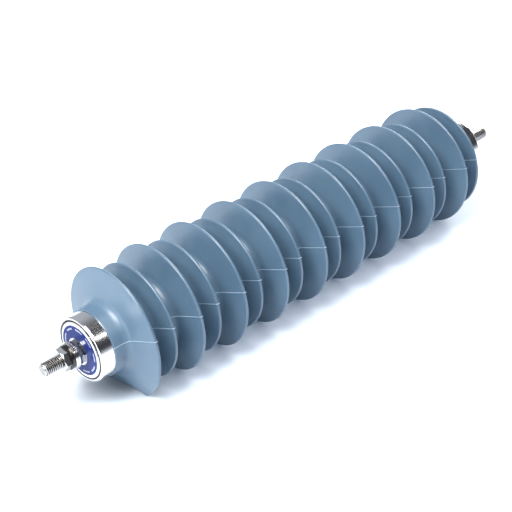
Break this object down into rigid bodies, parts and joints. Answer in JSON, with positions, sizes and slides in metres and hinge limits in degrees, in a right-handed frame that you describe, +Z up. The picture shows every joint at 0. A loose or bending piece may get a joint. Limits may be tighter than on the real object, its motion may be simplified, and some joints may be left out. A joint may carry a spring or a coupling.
{
  "type": "distribution surge arrester",
  "caption": "Silicone-housed surge arrester with alternating large and small sheds, steel end caps, a ring nameplate and threaded terminal studs.",
  "frame": {"origin": "on the floor that the arrester lies on, below the middle of its overall length", "axes": "+X along the arrester's axis towards the earth end, +Z up from the floor, +Y across"},
  "size_m": [0.5534, 0.117, 0.1136],
  "materials": {
    "silicone_rubber": "satin moulded silicone rubber, blue-grey",
    "glass_fibre": "filament-wound glass fibre and epoxy",
    "cap_steel": "polished stainless steel",
    "electrode_aluminium": "turned",
    "seal_rubber": "smooth black",
    "stud_steel": "bright threaded stainless steel",
    "spring_steel": "oiled spring steel",
    "zinc_oxide": "dark sintered zinc oxide with a glazed side",
    "nameplate_lacquer": "glossy blue lacquer on a thin metal ring",
    "fastener_steel": "bright stainless steel"
  },
  "bodies": {
    "root": {"silicone_housing": "silicone_rubber", "glass_fibre_tube": "glass_fibre", "line_cap": "cap_steel", "earth_cap": "cap_steel", "line_electrode": "electrode_aluminium", "earth_electrode": "electrode_aluminium", "earth_spacer_1": "electrode_aluminium", "line_seal": "seal_rubber", "earth_seal": "seal_rubber", "line_stud": "stud_steel", "earth_stud": "stud_steel", "disc_spring_1": "spring_steel", "disc_spring_2": "spring_steel", "disc_spring_3": "spring_steel", "disc_spring_4": "spring_steel", "spring_plate": "spring_steel", "varistor_block_01": "zinc_oxide", "varistor_block_02": "zinc_oxide", "varistor_block_03": "zinc_oxide", "varistor_block_04": "zinc_oxide", "varistor_block_05": "zinc_oxide", "varistor_block_06": "zinc_oxide", "varistor_block_07": "zinc_oxide", "varistor_block_08": "zinc_oxide", "varistor_block_09": "zinc_oxide", "varistor_block_10": "zinc_oxide", "varistor_block_11": "zinc_oxide", "nameplate": "nameplate_lacquer", "plate_washer": "fastener_steel", "lug_washer_1": "fastener_steel", "lug_washer_2": "fastener_steel", "spring_washer": "fastener_steel", "clamp_nut": "fastener_steel", "lug_nut": "fastener_steel"}
  },
  "joints": []
}
